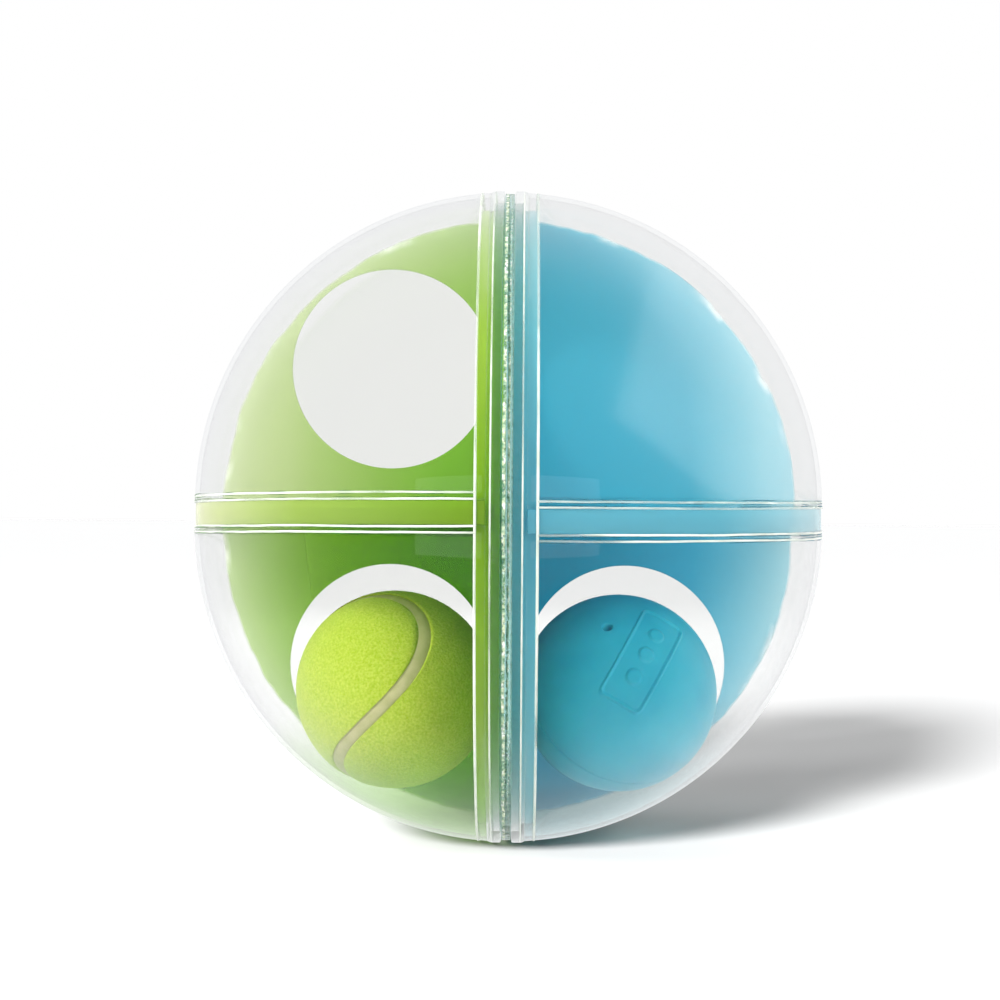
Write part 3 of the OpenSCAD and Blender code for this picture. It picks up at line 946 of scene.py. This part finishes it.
def fuzz(name, count, seed):
    """Short loose fibres that stand off the felt, each one a closed three-sided spike."""
    rng = np.random.default_rng(seed)
    seam = np.array([seam_point(2 * math.pi * i / 240) for i in range(240)])
    clear_of_seam = SEAM_W / 2 + 0.5 * MM
    verts, faces = [], []
    while len(faces) < count * 4:
        direction = Vector(rng.normal(size=3)).normalized()
        if np.min(np.linalg.norm(seam - np.array(direction), axis=1)) * BALL_R < clear_of_seam:
            continue
        side_way = direction.cross(Vector(rng.normal(size=3))).normalized()
        lean = direction.cross(side_way)
        length = (0.5 + 0.6 * rng.random()) * MM
        foot = direction * (BALL_R - 0.15 * MM)
        tip = foot + (direction * 0.55 + lean * 0.8) * length
        base = len(verts)
        verts.append(foot + side_way * NAP_WIDTH)
        verts.append(foot - side_way * NAP_WIDTH)
        verts.append(foot + lean * NAP_WIDTH * 1.5)
        verts.append(tip)
        faces.append((base, base + 1, base + 2))
        faces.append((base + 1, base, base + 3))
        faces.append((base + 2, base + 1, base + 3))
        faces.append((base, base + 2, base + 3))
    return mesh_from(name, verts, faces)


tennis_at = ball_frame(GREEN) @ SEAM_TURN
for letter, turn in (("a", 1), ("b", -1)):
    felt = new_object(f"felt_{letter}", felt_panel("felt", turn), tennis_at)
    smooth(felt, 70)
    finish_piece(felt, FELT, "tennis_ball", "felt", f"felt_panel_{letter}")
strip = new_object("ball_seam", seam_strip("strip"), tennis_at)
smooth(strip, 60)
finish_piece(strip, SEAM_RUBBER, "tennis_ball", "seam_rubber", "felt_seam")
nap = new_object("felt_nap", fuzz("nap", NAP_COUNT, 11), tennis_at)
finish_piece(nap, NAP, "tennis_ball", "felt", "felt_panel_a")


# ---------------------------------------------------------------- rubber ball

POLE = Vector((0.352, -0.791, 0.5)).normalized()
BADGE_AT = Vector((0.235, -0.86, 0.455)).normalized()
HOLE_AT = Vector((-0.141, -0.687, 0.713)).normalized()
BADGE_LONG = Vector((0.5, 0.0, 0.866))
BADGE_CORNER = 2.2 * MM
BADGE_MARK_R = 2.5 * MM
BADGE_MARK_GAP = 8.6 * MM
HOLE_R = 1.25 * MM
HOLE_DEPTH = 3.2 * MM
RUBBER_WALL = 4.5 * MM
BADGE_SIZE = (17.4 * MM, 7.2 * MM)


def box_distance(u, v, half_u, half_v, corner):
    """Signed distance to a rounded rectangle."""
    du, dv = abs(u) - half_u + corner, abs(v) - half_v + corner
    return math.hypot(max(du, 0), max(dv, 0)) + min(max(du, dv), 0) - corner


def bump_up(distance, width, height):
    """A rounded ridge of this width where the distance is zero."""
    t = abs(distance) / width
    return height * (1 - t * t) ** 2 if t < 1 else 0.0


def rubber_relief(direction):
    """The relief on the rubber ball: its parting ridge, badge frame, plain marks and squeak hole."""
    latitude = math.asin(max(-1.0, min(1.0, direction.dot(POLE)))) * BALL_R
    relief = -bump_up(latitude, 0.42 * MM, 0.34 * MM) - 0.1 * MM / (1 + math.exp(latitude / (0.12 * MM)))
    if direction.dot(BADGE_AT) > 0.8:
        long_axis = (BADGE_LONG - BADGE_AT * BADGE_LONG.dot(BADGE_AT)).normalized()
        cross_axis = BADGE_AT.cross(long_axis)
        u, v = direction.dot(long_axis) * BALL_R, direction.dot(cross_axis) * BALL_R
        frame_line = box_distance(u, v, *BADGE_SIZE, BADGE_CORNER)
        relief += bump_up(frame_line, 0.75 * MM, 0.55 * MM)
        if frame_line < 0:
            relief -= 0.2 * MM * min(1.0, -frame_line / (0.8 * MM))
        for spot in (-BADGE_MARK_GAP, 0.0, BADGE_MARK_GAP):
            rim = (math.hypot(u - spot, v) - BADGE_MARK_R) / (0.18 * MM)
            relief += 0.65 * MM / (1 + math.exp(max(-30.0, min(30.0, rim))))
    hole = direction.angle(HOLE_AT) * BALL_R / HOLE_R
    if hole < 1.8:
        relief -= HOLE_DEPTH / (1 + math.exp((hole - 1) * 9))
    return relief


def rubber_half(name, sign):
    """Half of the rubber ball, a cup with fine rings near the badge and a plain inside."""
    steps = 520
    arcs = []
    s = 0.0
    while s < math.pi / 2 * BALL_R - 0.3 * MM:
        arcs.append(s)
        dense = sign > 0 and s < 24 * MM
        near_parting = s > math.pi / 2 * BALL_R - 2.5 * MM
        s += 0.24 * MM if dense or near_parting else 0.9 * MM
    arcs.append(math.pi / 2 * BALL_R)
    axis = POLE * sign
    side_a = axis.orthogonal().normalized()
    side_b = axis.cross(side_a)
    verts, faces = [axis * (BALL_R + rubber_relief(axis))], []
    for s in arcs[1:]:
        polar = s / BALL_R
        for i in range(steps):
            turn = 2 * math.pi * i / steps
            level = side_a * math.cos(turn) + side_b * math.sin(turn)
            direction = axis * math.cos(polar) + level * math.sin(polar)
            verts.append(direction * (BALL_R + rubber_relief(direction)))
    for ring in range(INSIDE_RINGS, 0, -1):
        polar = math.pi / 2 * ring / INSIDE_RINGS
        for i in range(steps):
            turn = 2 * math.pi * i / steps
            level = side_a * math.cos(turn) + side_b * math.sin(turn)
            verts.append((axis * math.cos(polar) + level * math.sin(polar)) * (BALL_R - RUBBER_WALL))
    verts.append(axis * (BALL_R - RUBBER_WALL))
    rings = len(arcs) - 1 + INSIDE_RINGS
    faces += [(0, 1 + i, 1 + (i + 1) % steps) for i in range(steps)]
    for k in range(rings - 1):
        base, above = 1 + k * steps, 1 + (k + 1) * steps
        for i in range(steps):
            j = (i + 1) % steps
            faces.append((base + i, above + i, above + j, base + j))
    last = 1 + (rings - 1) * steps
    faces += [(last + steps, last + (i + 1) % steps, last + i) for i in range(steps)]
    return mesh_from(name, verts, faces)


for name, sign in (("front", 1), ("back", -1)):
    half_ball = new_object(f"squeak_ball_{name}", rubber_half("rubber", sign), ball_frame(BLUE))
    smooth(half_ball, 70)
    finish_piece(half_ball, BLUE_RUBBER, "rubber_ball", "blue_rubber", f"rubber_ball_{name}")

for node, mat in (("tennis_core_front", CORE_RUBBER), ("tennis_core_back", CORE_RUBBER),
                  ("squeaker_body", SQUEAKER), ("squeaker_reed", SQUEAKER)):
    part = frame["nodes"][node]
    part.data.materials.clear()
    part.data.materials.append(mat)


# ---------------------------------------------------------------- stage, light and camera

def floor():
    mesh = bpy.data.meshes.new("floor")
    size = 40
    corners = [(-size, -size, 0), (size, -size, 0), (size, size, 0), (-size, size, 0)]
    mesh.from_pydata(corners, [], [(0, 1, 2, 3)])
    obj = bpy.data.objects.new("floor", mesh)
    obj.location.z = FLOOR_Z - 0.0002
    bpy.context.scene.collection.objects.link(obj)
    mat, nodes, links, out = material("floor_white")
    skin = nodes.new("ShaderNodeBsdfDiffuse")
    skin.inputs["Color"].default_value = (0.3, 0.3, 0.3, 1)
    links.new(skin.outputs["BSDF"], out.inputs["Surface"])
    mesh.materials.append(mat)
    obj.visible_glossy = False
    return obj


def world():
    """White to the eye; as a light, white behind the object and dimmer on the camera's side."""
    w = bpy.data.worlds.new("studio")
    bpy.context.scene.world = w
    w.use_nodes = True
    nodes, links = w.node_tree.nodes, w.node_tree.links
    nodes.clear()
    seen = nodes.new("ShaderNodeBackground")
    seen.inputs["Color"].default_value = (1, 1, 1, 1)
    lit = nodes.new("ShaderNodeBackground")
    lit.inputs["Color"].default_value = (0.98, 0.99, 1, 1)
    direction = nodes.new("ShaderNodeSeparateXYZ")
    links.new(nodes.new("ShaderNodeTexCoord").outputs["Generated"], direction.inputs["Vector"])
    links.new(ranged(nodes, links, direction.outputs["Y"], -0.35, 0.35, 0.34, 0.97), lit.inputs["Strength"])
    path = nodes.new("ShaderNodeLightPath")
    out = nodes.new("ShaderNodeOutputWorld")
    surface = mix_shader(nodes, links, path.outputs["Is Camera Ray"],
                         lit.outputs["Background"], seen.outputs["Background"])
    links.new(surface, out.inputs["Surface"])


def floor_sun(ground):
    """Soft light from the front left that whitens the floor and throws the shadow back to the right."""
    data = bpy.data.lights.new("floor_sun", "SUN")
    data.energy = 26.4
    data.angle = math.radians(14)
    obj = bpy.data.objects.new("floor_sun", data)
    obj.rotation_euler = Vector((0.62, 1.55, -0.56)).to_track_quat("-Z", "Y").to_euler()
    obj.visible_glossy = False
    bpy.context.scene.collection.objects.link(obj)
    only_floor = bpy.data.collections.new("lit_by_floor_sun")
    only_floor.objects.link(ground)
    obj.light_linking.receiver_collection = only_floor


def area_light(name, at, towards, size, power, mirrored=False):
    data = bpy.data.lights.new(name, "AREA")
    data.shape = "RECTANGLE"
    data.size, data.size_y = size
    data.energy = power
    obj = bpy.data.objects.new(name, data)
    obj.location = at
    obj.rotation_euler = (Vector(towards) - Vector(at)).to_track_quat("-Z", "Y").to_euler()
    obj.visible_camera = False
    obj.visible_glossy = mirrored
    bpy.context.scene.collection.objects.link(obj)
    return obj


CAMERA_DISTANCE = 0.763
CAMERA_AZIMUTH = math.radians(0.35)
CAMERA_ROLL = math.radians(0.4)


def camera():
    data = bpy.data.cameras.new("camera")
    data.lens = 78.2
    data.sensor_width = 36
    data.shift_x = -0.0084
    data.shift_y = 0.017
    data.clip_start = 0.01
    obj = bpy.data.objects.new("camera", data)
    turned = Matrix.Rotation(CAMERA_AZIMUTH, 4, "Z")
    obj.location = turned @ Vector((0, -CAMERA_DISTANCE, 0))
    look = turned @ UPRIGHT @ Matrix.Rotation(CAMERA_ROLL, 4, "Z")
    obj.rotation_euler = look.to_euler()
    bpy.context.scene.collection.objects.link(obj)
    bpy.context.scene.camera = obj


def linked_window(name, at, size, lean, power, receivers):
    """A soft window on the camera's side, square to the object, that only shows in these pieces."""
    obj = area_light(name, at, (0, 0, 0), size, power, mirrored=True)
    upright = Matrix(((1, 0, 0), (0, 0, -1), (0, 1, 0)))
    obj.rotation_euler = (upright @ Matrix.Rotation(-lean, 3, "Z")).to_euler()
    obj.visible_diffuse = False
    group = bpy.data.collections.new(name)
    for receiver in receivers:
        group.objects.link(bpy.data.objects[receiver])
    obj.light_linking.receiver_collection = group


def panel_window():
    """The pale wedge across the blue upper panel."""
    linked_window("panel_window", (0.262, -0.78, 0.118), (0.3, 0.3), math.radians(24), 1.0,
                  ["blue_upper_divider"])


def dome_window():
    """The faint wide rectangle in the middle of the domes."""
    linked_window("dome_window", (0, -0.85, 0), (1.0, 0.3), 0, 0.65,
                  [f"{colour}_{level}_dome" for colour in ("green", "blue") for level in ("upper", "lower")])


floor_sun(floor())
world()
camera()
area_light("key", (-1.4, -1.0, 0.9), (0, 0, 0), (0.5, 0.5), 36)
area_light("fill_front", (0.9, -1.3, 0.6), (0, 0, 0), (0.8, 0.8), 15)
area_light("fill_top", (0.1, 0.1, 1.6), (0, 0, 0), (1.2, 1.2), 8)
area_light("rear_glow", (-0.5, 1.4, 0.8), (0, 0, 0), (1.2, 0.9), 10)
panel_window()
dome_window()

scene = bpy.context.scene
scene.view_settings.view_transform = "Standard"
scene.cycles.use_denoising = True
scene.cycles.transparent_max_bounces = 48
scene.cycles.max_bounces = 12
